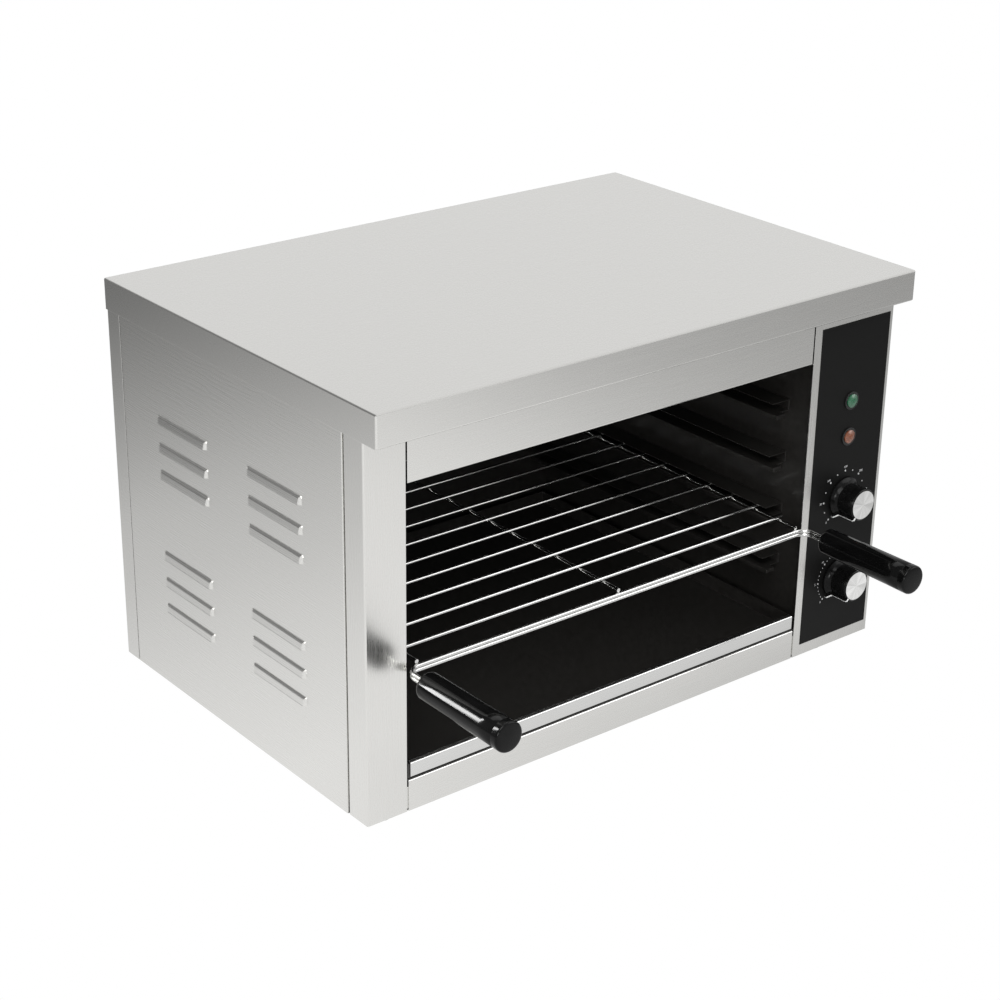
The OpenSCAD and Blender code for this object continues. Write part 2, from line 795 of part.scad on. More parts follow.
module heating_tube_bushes()
    color("goldenrod")
        for (first = element_y)
            for (y = [first, first + element_pitch])
                difference() {
                    union() {
                        rod_x(element_d + 2 * bush_flange_w,
                            [chamber_x[1] - bush_flange_t, chamber_x[1]], y, element_z);
                        rod_x(element_d + 2 * bush_wall,
                            [chamber_x[1] - bush_flange_t, chamber_x[1] + bush_out], y, element_z);
                        translate([chamber_x[1] + liner, y, element_z])
                            rotate([0, 90, 0])
                                cylinder(d = element_d + 2 * bush_nut[0], h = bush_nut[1], $fn = 6);
                    }
                    rod_x(element_d + 2 * fit_gap,
                        [chamber_x[1] - bush_flange_t - over, chamber_x[1] + bush_out + over],
                        y, element_z);
                }

module heating_tube_hangers()
    color("lightgray")
        for (x = hanger_x)
            difference() {
                block([x, x + hanger_t],
                    [element_y[0] - hanger_edge, element_y[1] + element_pitch + hanger_edge],
                    [element_z - element_d, roof_z]);
                for (first = element_y)
                    for (y = [first, first + element_pitch])
                        rod_x(element_d + 2 * fit_gap, [x - over, x + hanger_t + over], y, element_z);
            }

module bulb_clips()
    color("lightgray")
        for (y = [bulb_y[0] + clip_in, bulb_y[1] - clip_in - clip_w])
            difference() {
                block([bulb_x - bulb_d / 2 - clip_wall, chamber_x[1]], [y, y + clip_w],
                    [bulb_z - bulb_d / 2 - clip_wall, bulb_z + bulb_d / 2 + clip_wall]);
                rod_y(bulb_d + 2 * fit_gap, bulb_x, [y - over, y + clip_w + over], bulb_z);
            }

// The bulb in the chamber and its fine tube to the thermostat
module temperature_bulb()
    color("lightgray")
        union() {
            rod_y(bulb_d, bulb_x, bulb_y, bulb_z);
            wire([
                [bulb_x, bulb_y[0], bulb_z],
                [bulb_x, bulb_exit_y, bulb_z],
                [chamber_x[1] + bush_out, bulb_exit_y, bulb_z],
                [chamber_x[1] + bush_out, control_y + thermostat_l / 2, bulb_z - 6 * wire_bend],
                [control_x, control_y + thermostat_l / 2, thermostat_top + 2 * wire_bend],
                [control_x, control_y + thermostat_l / 2, thermostat_top]
            ], capillary_d);
        }

// ---------- controls ----------

// Countersunk screw through the front sheet, grown by gap for its hole
module control_screw_shape(x, z, gap)
    translate([x, front_y, z])
        rotate([-90, 0, 0])
            union() {
                cylinder(d1 = screw_head_d + 2 * gap, d2 = screw_d + 2 * gap, h = sheet);
                cylinder(d = screw_d + 2 * gap, h = control_screw_l + gap);
            }

module control_screws()
    color("gray")
        for (z = [timer_z, thermostat_z])
            for (side = [-1, 1])
                control_screw_shape(control_x + side * control_screw_half, z, 0);

// Case with a boss through the front sheet, a bore for the spindle and two rear tabs
module control_body(w, l, z)
    difference() {
        union() {
            block([control_x - w / 2, control_x + w / 2], [control_y, control_y + l],
                [z - w / 2, z + w / 2]);
            rod_y(boss_d, control_x, [front_y - label_t / 2, control_y + over], z);
            for (side = [-1, 1])
                block([control_x + side * tab_half - tab_w / 2, control_x + side * tab_half + tab_w / 2],
                    [control_y + l, control_y + l + tab_l], [z - tab_t / 2, z + tab_t / 2]);
        }
        rod_y(spindle_d + 2 * fit_gap, control_x, [front_y - over, spindle_y[1] + rest_gap], z);
        for (side = [-1, 1])
            control_screw_shape(control_x + side * control_screw_half, z, fit_gap);
    }

module thermostat()
    color("#d8d2c4")
        control_body(thermostat_w, thermostat_l, thermostat_z);

module timer()
    color("#3a3a3a")
        control_body(timer_w, timer_l, timer_z);

module spindle(z)
    rod_y(spindle_d, control_x, spindle_y, z);

module temperature_spindle()
    color("lightgray")
        spindle(thermostat_z);

module timer_spindle()
    color("lightgray")
        spindle(timer_z);

// The raised pointer of a knob, pointing up: a nib on the skirt and a rib along the grip
module pointer() {
    nib_r = knob_skirt_d / 2 + pointer_nib;
    rib_r = knob_d / 2 + pointer_out;
    rotate([90, 0, 90])
        translate([0, 0, -pointer_w / 2])
            linear_extrude(pointer_w)
                polygon([
                    [0, 0], [nib_r, 0], [nib_r, skirt_h[0]], [rib_r, skirt_h[2]],
                    [rib_r, knob_h - knob_edge], [rib_r - knob_edge, knob_h], [0, knob_h]
                ]);
}

// A knob with a flared skirt, a pointer, a hollow back and a recess for its metal cap
module knob(z)
    translate([control_x, knob_y, z])
        rotate([90, 0, 0])
            difference() {
                union() {
                    rotate_extrude()
                        polygon([
                            [0, 0], [knob_skirt_d / 2, 0], [knob_skirt_d / 2, skirt_h[0]],
                            [knob_d / 2 + skirt_step, skirt_h[1]], [knob_d / 2, skirt_h[2]],
                            [knob_d / 2, knob_h - knob_edge], [knob_d / 2 - knob_edge, knob_h],
                            [0, knob_h]
                        ]);
                    rotate([0, 0, pointer_angle])
                        pointer();
                }
                translate([0, 0, knob_h - cap_t])
                    cylinder(d = cap_d, h = cap_t + over);
                translate([0, 0, -over])
                    cylinder(d = spindle_d, h = knob_h - knob_top + over);
                translate([0, 0, -over])
                    difference() {
                        cylinder(d = knob_d - 2 * knob_wall, h = knob_hollow + over);
                        cylinder(d = spindle_d + 2 * knob_hub, h = knob_hollow + over);
                    }
            }

module knob_cap(z)
    rod_y(cap_d, control_x, [knob_y - knob_h, knob_y - knob_h + cap_t], z);

module temperature_knob()
    color("#141414")
        knob(thermostat_z);

module temperature_knob_cap()
    color("whitesmoke")
        knob_cap(thermostat_z);

module timer_knob()
    color("#141414")
        knob(timer_z);

module timer_knob_cap()
    color("whitesmoke")
        knob_cap(timer_z);

// Lamp holder: a flange on the label, a barrel through the front sheet and a nut behind it
module lamp_body(z)
    difference() {
        union() {
            rod_y(lamp_flange_d, control_x, [lens_y, front_y - label_t], z);
            rod_y(lamp_d, control_x, [lens_y, control_y + lamp_l], z);
            hex_y(lamp_d + 2 * lamp_nut[0], control_x, [control_y, control_y + lamp_nut[1]], z);
        }
        rod_y(lens_d + 2 * fit_gap, control_x, [lens_y - over, lens_y + lens_stem + rest_gap], z);
    }

// Domed lens with a stem in the lamp holder
module lamp_lens(z)
    translate([control_x, lens_y, z])
        rotate([90, 0, 0])
            union() {
                translate([0, 0, -lens_stem])
                    cylinder(d = lens_d, h = lens_stem + lens_edge);
                intersection() {
                    translate([0, 0, lens_edge + lens_dome - dome_r])
                        sphere(r = dome_r);
                    cylinder(d = lens_d, h = lens_d);
                }
            }

module power_lamp_body()
    color("#1a1a1a")
        lamp_body(power_lamp_z);

module power_lamp_lens()
    color("seagreen")
        lamp_lens(power_lamp_z);

module heat_lamp_body()
    color("#1a1a1a")
        lamp_body(heat_lamp_z);

module heat_lamp_lens()
    color("darkorange")
        lamp_lens(heat_lamp_z);

// ---------- supply and wiring ----------

module terminal_block()
    color("ivory")
        difference() {
            block(terminal_x, terminal_y, [floor_z, floor_z + terminal_h]);
            for (dx = terminal_row)
                rod_z(terminal_hole_d, control_x + dx, terminal_mid_y,
                    [floor_z + terminal_h / 2, floor_z + terminal_h + over]);
        }

module terminal_screws()
    color("goldenrod")
        for (dx = terminal_row)
            rod_z(terminal_screw_d, control_x + dx, terminal_mid_y,
                [floor_z + terminal_h / 2, floor_z + terminal_h - 2]);

// From the rear of a lamp down to the top of the thermostat
module lamp_wire(z, side) {
    out_x = control_x + side * wire_bend;
    lamp_end = control_y + lamp_l;
    end_y = control_y + thermostat_l - wire_d;
    wire([
        [control_x, lamp_end, z],
        [control_x, lamp_end + wire_bend, z],
        [out_x, lamp_end + wire_bend, z - wire_bend],
        [out_x, end_y, thermostat_top + wire_bend],
        [out_x, end_y, thermostat_top]
    ]);
}

module wiring()
    color("saddlebrown") {
        // supply to the timer
        wire([
            [control_x - terminal_pitch, terminal_y[0], terminal_wire_z],
            [control_x - terminal_pitch, loom_y, terminal_wire_z],
            [control_x - tab_half, loom_y, timer_z],
            [control_x - tab_half, timer_tab_y, timer_z]
        ]);
        // timer to the thermostat
        wire([
            [control_x + tab_half, timer_tab_y, timer_z],
            [control_x + tab_half, loom_y, timer_z],
            [control_x + tab_half, loom_y, thermostat_z],
            [control_x + tab_half, thermostat_tab_y, thermostat_z]
        ]);
        // thermostat to the front heating tube
        wire([
            [control_x - tab_half, thermostat_tab_y, thermostat_z],
            [control_x - tab_half, loom_y, thermostat_z],
            [pin_end + wire_bend, element_y[0], element_z - 2 * wire_bend],
            [pin_end + wire_bend, element_y[0], element_z],
            [pin_end, element_y[0], element_z]
        ]);
        // between the two heating tubes
        wire([
            [pin_end, element_y[0] + element_pitch, element_z],
            [pin_end + wire_bend, element_y[0] + element_pitch, element_z],
            [pin_end + wire_bend, element_y[1], element_z],
            [pin_end, element_y[1], element_z]
        ]);
        // rear heating tube back to the supply
        wire([
            [pin_end, element_y[1] + element_pitch, element_z],
            [loom_x, element_y[1] + element_pitch, element_z],
            [loom_x, element_y[1] + element_pitch, terminal_wire_z + 4 * wire_bend],
            [control_x, terminal_y[0] - 2 * wire_bend, terminal_wire_z + wire_bend],
            [control_x, terminal_y[0] - 2 * wire_bend, terminal_wire_z],
            [control_x, terminal_y[0], terminal_wire_z]
        ]);
        // earth to the bonding stud
        wire([
            [control_x + terminal_pitch, terminal_y[1], terminal_wire_z],
            [control_x + terminal_pitch, terminal_y[1] + wire_bend, terminal_wire_z],
            [bond_x, terminal_y[1] + 2 * wire_bend, bond_z],
            [bond_x, back_y - sheet - bond_nut[1] - over, bond_z]
        ]);
        // the two lamps to the thermostat, one on each side
        lamp_wire(heat_lamp_z, 1);
        lamp_wire(power_lamp_z, -1);
    }

module cable_gland()
    color("#1c1c1c")
        difference() {
            union() {
                rod_y(gland_d, gland_x, gland_body_y, gland_z);
                hex_y(gland_d + 2 * gland_hex[0], gland_x, [back_y, back_y + gland_hex[1]], gland_z);
            }
            rod_y(gland_d - 2 * gland_wall, gland_x, [gland_body_y[0] - over, gland_body_y[1] + over],
                gland_z);
        }

module gland_locknut()
    color("#1c1c1c")
        difference() {
            hex_y(gland_d + 2 * gland_hex[0], gland_x,
                [back_y - sheet - gland_hex[1], back_y - sheet], gland_z);
            rod_y(gland_d, gland_x,
                [back_y - sheet - gland_hex[1] - over, back_y - sheet + over], gland_z);
        }

module gland_cap()
    color("#1c1c1c")
        translate([gland_x, back_y + gland_hex[1], gland_z])
            rotate([-90, 0, 0])
                difference() {
                    rotate_extrude()
                        polygon([
                            [0, 0], [gland_d / 2 + gland_hex[0], 0],
                            [gland_d / 2 + gland_hex[0], gland_cap_l - gland_cap_taper],
                            [gland_d / 2 + gland_hex[0] - gland_cap_taper * 3 / 4, gland_cap_l],
                            [0, gland_cap_l]
                        ]);
                    translate([0, 0, -over])
                        cylinder(d = gland_d, h = gland_cap_l - gland_cap_top + over);
                    translate([0, 0, -over])
                        cylinder(d = cable_bore + 2 * gland_cap_hole, h = gland_cap_l + 2 * over);
                }

module gland_seal()
    color("#303030")
        difference() {
            union() {
                rod_y(gland_d - 2 * gland_wall, gland_x,
                    [back_y - gland_seal_in, gland_body_y[1]], gland_z);
                rod_y(gland_d - 2 * gland_seal_gap, gland_x,
                    [gland_body_y[1], back_y + gland_out - gland_cap_top], gland_z);
            }
            rod_y(cable_bore, gland_x,
                [back_y - gland_seal_in - over, back_y + gland_out - gland_cap_top + over], gland_z);
        }

// A stud with a hexagon collar outside the rear sheet, and its nut inside
module bonding_stud()
    color("gold")
        union() {
            rod_y(bond_d, bond_x, [back_y - sheet - bond_nut[1] - over, back_y], bond_z);
            hex_y(bond_d + 2 * bond_nut[0], bond_x, [back_y, back_y + bond_nut[1]], bond_z);
            rod_y(bond_d, bond_x, [back_y + bond_nut[1], back_y + bond_out], bond_z);
        }

module bonding_nut()
    color("gold")
        difference() {
            hex_y(bond_d + 2 * bond_nut[0], bond_x,
                [back_y - sheet - bond_nut[1], back_y - sheet], bond_z);
            rod_y(bond_d, bond_x, [back_y - sheet - bond_nut[1] - over, back_y - sheet + over], bond_z);
        }

// ---------- feet and fasteners ----------

module at_feet()
    for (x = [-foot_x, foot_x])
        for (y = foot_y)
            translate([x, y, 0])
                children();

module feet()
    color("#1e1e1e")
        at_feet()
            rotate_extrude()
                polygon([
                    [foot_bolt_d / 2 + fit_gap, foot_seat_z],
                    [foot_bolt_d / 2 + foot_recess, foot_seat_z], [foot_bolt_d / 2 + foot_recess, 0],
                    [foot_d / 2 - foot_edge, 0], [foot_d / 2, foot_edge],
                    [foot_d / 2 - foot_taper, foot_h], [foot_bolt_d / 2 + fit_gap, foot_h]
                ]);

module foot_bolts()
    color("gray")
        at_feet()
            union() {
                translate([0, 0, foot_seat_z - foot_bolt_head_h])
                    cylinder(d = 2 * foot_bolt_d, h = foot_bolt_head_h);
                translate([0, 0, foot_seat_z - over])
                    cylinder(d = foot_bolt_d, h = floor_z - foot_seat_z + foot_nut[1] + 2 * over);
            }

module foot_nuts()
    color("gray")
        at_feet()
            translate([0, 0, floor_z])
                difference() {
                    cylinder(d = foot_nut[0] / cos(30), h = foot_nut[1], $fn = 6);
                    translate([0, 0, -over])
                        cylinder(d = foot_bolt_d, h = foot_nut[1] + 2 * over);
                }

module pan_screw(x, y, z)
    union() {
        rod_y(screw_head_d, x, [y, y + screw_head_h], z);
        rod_y(screw_d, x, [y - screw_l, y + screw_head_h / 2], z);
    }

module rear_screws()
    color("gray")
        for (x = rear_screw_x)
            pan_screw(x, back_y, rear_screw_z);

module cover_screws()
    color("gray")
        for (x = cover_screw_x)
            pan_screw(x, cover_y[1], cover_screw_z);

// ---------- rack ----------

// One of the two handle wires: a bar across the front, bent forwards into both grips
module handle_wire(z)
    union() {
        bar_half = grip_half - bend_r;
        rod_x(frame_wire, [opening_mid - bar_half, opening_mid + bar_half], bar_y, z);
        for (side = [0, 1])
            translate([opening_mid, 0, 0])
                mirror([side, 0, 0]) {
                    translate([bar_half, bar_y - bend_r, z])
                        rotate_extrude(angle = 90)
                            translate([bend_r, 0])
                                circle(d = frame_wire);
                    rod_y(frame_wire, grip_half,
                        [front_y - grip_stand - grip_socket, bar_y - bend_r], z);
                }
    }

module rack_upper_wire()
    color("gainsboro")
        handle_wire(upper_z);

module rack_lower_wire()
    color("gainsboro")
        handle_wire(lower_z);

module rack_long_wires()
    color("gainsboro")
        for (x = long_x)
            rod_y(long_wire, x, long_y, long_z);

module rack_cross_wires()
    color("gainsboro")
        for (y = cross_y)
            rod_x(cross_wire, [long_x[0] - cross_tip, long_x[2] + cross_tip], y, cross_z);

// A slightly tapered round grip with rounded shoulders and two wire sockets
module grip(x)
    difference() {
        translate([x, front_y - grip_stand, grip_z])
            rotate([90, 0, 0])
                rotate_extrude()
                    polygon(concat(
                        [[0, 0]],
                        [for (a = [0 : 15 : 90]) [
                            grip_d / 2 - grip_round + grip_round * sin(a),
                            grip_round - grip_round * cos(a)
                        ]],
                        [for (a = [0 : 15 : 90]) [
                            grip_end_d / 2 - grip_end_round + grip_end_round * cos(a),
                            grip_l - grip_crown - grip_end_round + grip_end_round * sin(a)
                        ]],
                        [[0, grip_l]]
                    ));
        for (z = [lower_z, upper_z])
            rod_y(frame_wire, x, [front_y - grip_stand - grip_socket, front_y - grip_stand + over], z);
    }

module left_grip()
    color("#101010")
        grip(opening_mid - grip_half);

module right_grip()
    color("#101010")
        grip(opening_mid + grip_half);

// ---------- crumb tray ----------

module tray_pan()
    color("#1d1d20")
        difference() {
            block(tray_x, tray_y, [tray_z, tray_z + tray_h]);
            block([tray_x[0] + tray_sheet, tray_x[1] - tray_sheet],
                [tray_y[0] + tray_sheet, tray_y[1] - tray_sheet],
                [tray_z + tray_sheet, tray_z + tray_h + over]);
        }

module tray_lip()
    color("silver")
        union() {
            block(lip_x, skin_y, [lip_top - lip_h, lip_top]);
            block(lip_x, [front_y, front_y + lip_fold], [lip_top - sheet, lip_top]);
        }

top_cover();
left_front_post();
front_header();
front_fascia();
control_column();
control_label();
left_side_panel();
right_side_panel();
rear_panel();
base_plate();
left_chamber_wall();
right_chamber_wall();
chamber_back();
chamber_roof();
chamber_floor();
left_runners();
right_runners();
front_heating_tube();
rear_heating_tube();
heating_tube_bushes();
heating_tube_hangers();
thermostat();
temperature_bulb();
bulb_clips();
timer();
control_screws();
power_lamp_body();
power_lamp_lens();
heat_lamp_body();
heat_lamp_lens();
terminal_block();
terminal_screws();
wiring();
cable_gland();
gland_cap();
gland_seal();
gland_locknut();
bonding_stud();
bonding_nut();
feet();
foot_bolts();
foot_nuts();
rear_screws();
cover_screws();
rack_upper_wire();
rack_lower_wire();
rack_long_wires();
rack_cross_wires();
left_grip();
right_grip();
tray_pan();
tray_lip();
temperature_knob();
temperature_knob_cap();
temperature_spindle();
timer_knob();
timer_knob_cap();
timer_spindle();
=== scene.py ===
import json
import math

import bmesh
import bpy
from mathutils import Matrix, Vector


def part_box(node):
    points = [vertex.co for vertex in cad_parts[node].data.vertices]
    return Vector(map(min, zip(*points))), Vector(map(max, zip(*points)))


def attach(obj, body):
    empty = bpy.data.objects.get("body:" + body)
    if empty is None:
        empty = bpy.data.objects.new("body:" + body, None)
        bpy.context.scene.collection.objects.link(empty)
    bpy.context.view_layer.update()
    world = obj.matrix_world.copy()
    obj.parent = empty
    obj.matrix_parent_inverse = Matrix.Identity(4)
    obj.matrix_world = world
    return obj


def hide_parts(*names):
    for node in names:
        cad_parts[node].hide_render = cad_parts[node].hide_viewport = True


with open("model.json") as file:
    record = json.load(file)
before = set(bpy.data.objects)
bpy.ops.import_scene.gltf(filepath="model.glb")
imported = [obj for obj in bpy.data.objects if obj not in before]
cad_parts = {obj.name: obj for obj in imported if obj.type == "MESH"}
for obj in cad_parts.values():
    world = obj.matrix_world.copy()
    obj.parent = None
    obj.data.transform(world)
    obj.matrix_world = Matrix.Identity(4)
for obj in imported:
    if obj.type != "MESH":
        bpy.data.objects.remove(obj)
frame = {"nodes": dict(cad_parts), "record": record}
NODES = frame["nodes"]
BODY_OF = {n: body for body, nodes in frame["record"]["behaviour"]["bodies"].items() for n in nodes}
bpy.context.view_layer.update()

# places of the front and the controls, in metres, as in the part's source
FRONT_Y = -0.13375
LABEL_Y = FRONT_Y - 0.0005
CONTROL_X = 0.24185
THERMOSTAT_Z = 0.1694
TIMER_Z = 0.0884
POWER_LAMP_Z = 0.263
HEAT_LAMP_Z = 0.2285
KNOB_Y = LABEL_Y - 0.0008

# the printed scales and the pointers, in degrees clockwise from straight up
SCALE_START = -136
SCALE_SWEEP = 272
POINTER_TURN = -137.5
PRINT_PROUD = 0.00005

# the only pieces that the window light reaches, and the ones that the high lamps leave out
GLOSSY = bpy.data.collections.new("glossy_pieces")
CALM = bpy.data.collections.new("calm_pieces")


# ---------- camera, floor and light ----------

# how bright polished steel sees the floor, by how far to the right and how far back it looks
GLOW_RIGHT = [(0.0, 1.03), (0.25, 1.02), (0.4, 0.8), (0.55, 0.65), (0.7, 0.54), (0.88, 0.5),
              (1.16, 0.43), (1.6, 0.36)]
GLOW_BACK = [(0.0, 1.0), (0.2, 0.88), (0.4, 0.72), (0.55, 0.66), (0.7, 0.5), (0.9, 0.36),
             (1.2, 0.2), (1.6, 0.16)]
GLOW_REACH = 2.0
SKY_GLOSS = 0.91


def make_camera():
    az, el, roll = (math.radians(v) for v in (-38.83352, 23.72466, 0.80702))
    back = Vector((math.sin(az) * math.cos(el), -math.cos(az) * math.cos(el), math.sin(el)))
    right = Vector((math.cos(az), math.sin(az), 0.0))
    up = back.cross(right)
    tilted_right = math.cos(roll) * right + math.sin(roll) * up
    tilted_up = -math.sin(roll) * right + math.cos(roll) * up
    data = bpy.data.cameras.new("photo_camera")
    data.lens = 78.956
    data.sensor_width = 36.0
    data.clip_start = 0.05
    data.clip_end = 60.0
    camera = bpy.data.objects.new("photo_camera", data)
    turn = Matrix((tilted_right, tilted_up, back)).transposed().to_4x4()
    camera.matrix_world = Matrix.Translation((-1.148361, -1.363533, 0.964945)) @ turn
    bpy.context.scene.collection.objects.link(camera)
    bpy.context.scene.camera = camera


def nodes_of(mat):
    """A material's or a world's node tree, emptied."""
    mat.use_nodes = True
    tree = mat.node_tree
    tree.nodes.clear()
    return tree


def link(tree, a, a_socket, b, b_socket):
    tree.links.new(a.outputs[a_socket], b.inputs[b_socket])


def glow_ramp(tree, value, levels):
    """A colour ramp through (distance, level) pairs."""
    reach = tree.nodes.new("ShaderNodeMath")
    reach.operation = "DIVIDE"
    reach.inputs[1].default_value = GLOW_REACH
    tree.links.new(value, reach.inputs[0])
    ramp = tree.nodes.new("ShaderNodeValToRGB")
    stops = ramp.color_ramp.elements
    while len(stops) < len(levels):
        stops.new(0.5)
    for stop, (far, level) in zip(stops, levels):
        stop.position = far / GLOW_REACH
        stop.color = (level, level, level, 1)
    link(tree, reach, "Value", ramp, "Fac")
    return ramp


def glow_range(tree, value, start, end, low, high):
    """A value from start to end mapped to low to high."""
    node = tree.nodes.new("ShaderNodeMapRange")
    for name, number in (("From Min", start), ("From Max", end), ("To Min", low), ("To Max", high)):
        node.inputs[name].default_value = number
    tree.links.new(value, node.inputs["Value"])
    return node


def floor_glow(tree):
    """What polished steel sees of the floor: a painted glow, bright round the object and darker far from
    it, with a painted contact shadow just in front of the object that deepens to the right.
    """
    place = tree.nodes.new("ShaderNodeTexCoord")
    parts = tree.nodes.new("ShaderNodeSeparateXYZ")
    link(tree, place, "Object", parts, "Vector")
    right = glow_ramp(tree, parts.outputs["X"], GLOW_RIGHT)
    back = glow_ramp(tree, parts.outputs["Y"], GLOW_BACK)
    both = tree.nodes.new("ShaderNodeVectorMath")
    both.operation = "MULTIPLY"
    # painted contact shadow on the floor just in front of the object, deeper to the right
    near = glow_range(tree, parts.outputs["Y"], -0.28, -0.17, 0.0, 1.0)
    along = glow_range(tree, parts.outputs["X"], -0.3, 0.2, 0.0, 0.27)
    painted_contact_shade = tree.nodes.new("ShaderNodeMath")
    painted_contact_shade.operation = "MULTIPLY"
    rest = tree.nodes.new("ShaderNodeMath")
    rest.operation = "SUBTRACT"
    rest.inputs[0].default_value = 1.0
    shaded = tree.nodes.new("ShaderNodeVectorMath")
    shaded.operation = "SCALE"
    glow = tree.nodes.new("ShaderNodeEmission")
    glow.inputs["Strength"].default_value = 1.0
    link(tree, right, "Color", both, 0)
    link(tree, back, "Color", both, 1)
    link(tree, near, "Result", painted_contact_shade, 0)
    link(tree, along, "Result", painted_contact_shade, 1)
    link(tree, painted_contact_shade, "Value", rest, 1)
    link(tree, both, "Vector", shaded, "Vector")
    link(tree, rest, "Value", shaded, "Scale")
    link(tree, shaded, "Vector", glow, "Color")
    return glow


def make_floor():
    """A floor that is white to the camera, keeps its own glow for polished steel, and else is pale."""
    mesh = bpy.data.meshes.new("floor")
    bm = bmesh.new()
    bmesh.ops.create_circle(bm, cap_ends=True, radius=9.0, segments=64)
    bm.to_mesh(mesh)
    bm.free()
    floor = bpy.data.objects.new("floor", mesh)
    floor.location.z = -0.0004
    bpy.context.scene.collection.objects.link(floor)
    mat = bpy.data.materials.new("floor_white")
    tree = nodes_of(mat)
    out = tree.nodes.new("ShaderNodeOutputMaterial")
    diffuse = tree.nodes.new("ShaderNodeBsdfDiffuse")
    diffuse.inputs["Color"].default_value = (0.78, 0.78, 0.78, 1)
    seen = tree.nodes.new("ShaderNodeEmission")
    seen.inputs["Color"].default_value = (1, 1, 1, 1)
    seen.inputs["Strength"].default_value = 1.0
    path = tree.nodes.new("ShaderNodeLightPath")
    reflected = tree.nodes.new("ShaderNodeMixShader")
    direct = tree.nodes.new("ShaderNodeMixShader")
    link(tree, path, "Is Glossy Ray", reflected, "Fac")
    link(tree, diffuse, "BSDF", reflected, 1)
    link(tree, floor_glow(tree), "Emission", reflected, 2)
    link(tree, path, "Is Camera Ray", direct, "Fac")
    link(tree, reflected, "Shader", direct, 1)
    link(tree, seen, "Emission", direct, 2)
    link(tree, direct, "Shader", out, "Surface")
    mesh.materials.append(mat)


def make_world():
    """A sky that is white to the camera, and to polished steel darker on the left."""
    world = bpy.data.worlds.new("studio")
    bpy.context.scene.world = world
    tree = nodes_of(world)
    out = tree.nodes.new("ShaderNodeOutputWorld")
    shades = []
    for color, strength in (((0.86, 0.88, 0.9, 1), 0.5), ((1, 1, 1, 1), SKY_GLOSS), ((1, 1, 1, 1), 1.0)):
        shade = tree.nodes.new("ShaderNodeBackground")
        shade.inputs["Color"].default_value = color
        shade.inputs["Strength"].default_value = strength
        shades.append(shade)
    path = tree.nodes.new("ShaderNodeLightPath")
    place = tree.nodes.new("ShaderNodeTexCoord")
    parts = tree.nodes.new("ShaderNodeSeparateXYZ")
    side = glow_range(tree, parts.outputs["X"], -0.3, 0.3, 0.3, 1.0)
    grey = tree.nodes.new("ShaderNodeCombineXYZ")
    link(tree, place, "Generated", parts, "Vector")
    for axis in "XYZ":
        link(tree, side, "Result", grey, axis)
    link(tree, grey, "Vector", shades[1], "Color")
    reflected = tree.nodes.new("ShaderNodeMixShader")
    direct = tree.nodes.new("ShaderNodeMixShader")
    link(tree, path, "Is Glossy Ray", reflected, "Fac")
    link(tree, shades[0], "Background", reflected, 1)
    link(tree, shades[1], "Background", reflected, 2)
    link(tree, path, "Is Camera Ray", direct, "Fac")
    link(tree, reflected, "Shader", direct, 1)
    link(tree, shades[2], "Background", direct, 2)
    link(tree, direct, "Shader", out, "Surface")


def lamp(name, place, target, size, power, size_y=None):
    """An area lamp aimed at a point, square unless size_y is given."""
    data = bpy.data.lights.new(name, "AREA")
    data.shape = "RECTANGLE" if size_y else "SQUARE"
    data.size = size
    if size_y:
        data.size_y = size_y
    data.energy = power
    obj = bpy.data.objects.new(name, data)
    obj.location = place
    aim = Vector(target) - Vector(place)
    obj.rotation_euler = aim.to_track_quat("-Z", "Y").to_euler()
    bpy.context.scene.collection.objects.link(obj)
    return obj


def make_lights():
    for high in (lamp("key_light", (-1.2, -1.5, 2.2), (0, 0, 0.2), 1.6, 42),
                 lamp("fill_light", (1.8, -1.6, 1.6), (0, 0, 0.2), 1.8, 20),
                 lamp("top_light", (0.3, 0.9, 2.4), (0, 0, 0.3), 2.0, 26)):
        high.light_linking.receiver_collection = CALM
    window = lamp("window_light", (-1.82, 1.58, 1.2), (-0.25, -0.21, 0.15), 0.3, 70, 1.5)
    window.light_linking.receiver_collection = GLOSSY
    lamp("low_light", (-1.5, -1.9, 0.55), (0.1, 0, 0.25), 0.5, 16)


# ---------- materials ----------

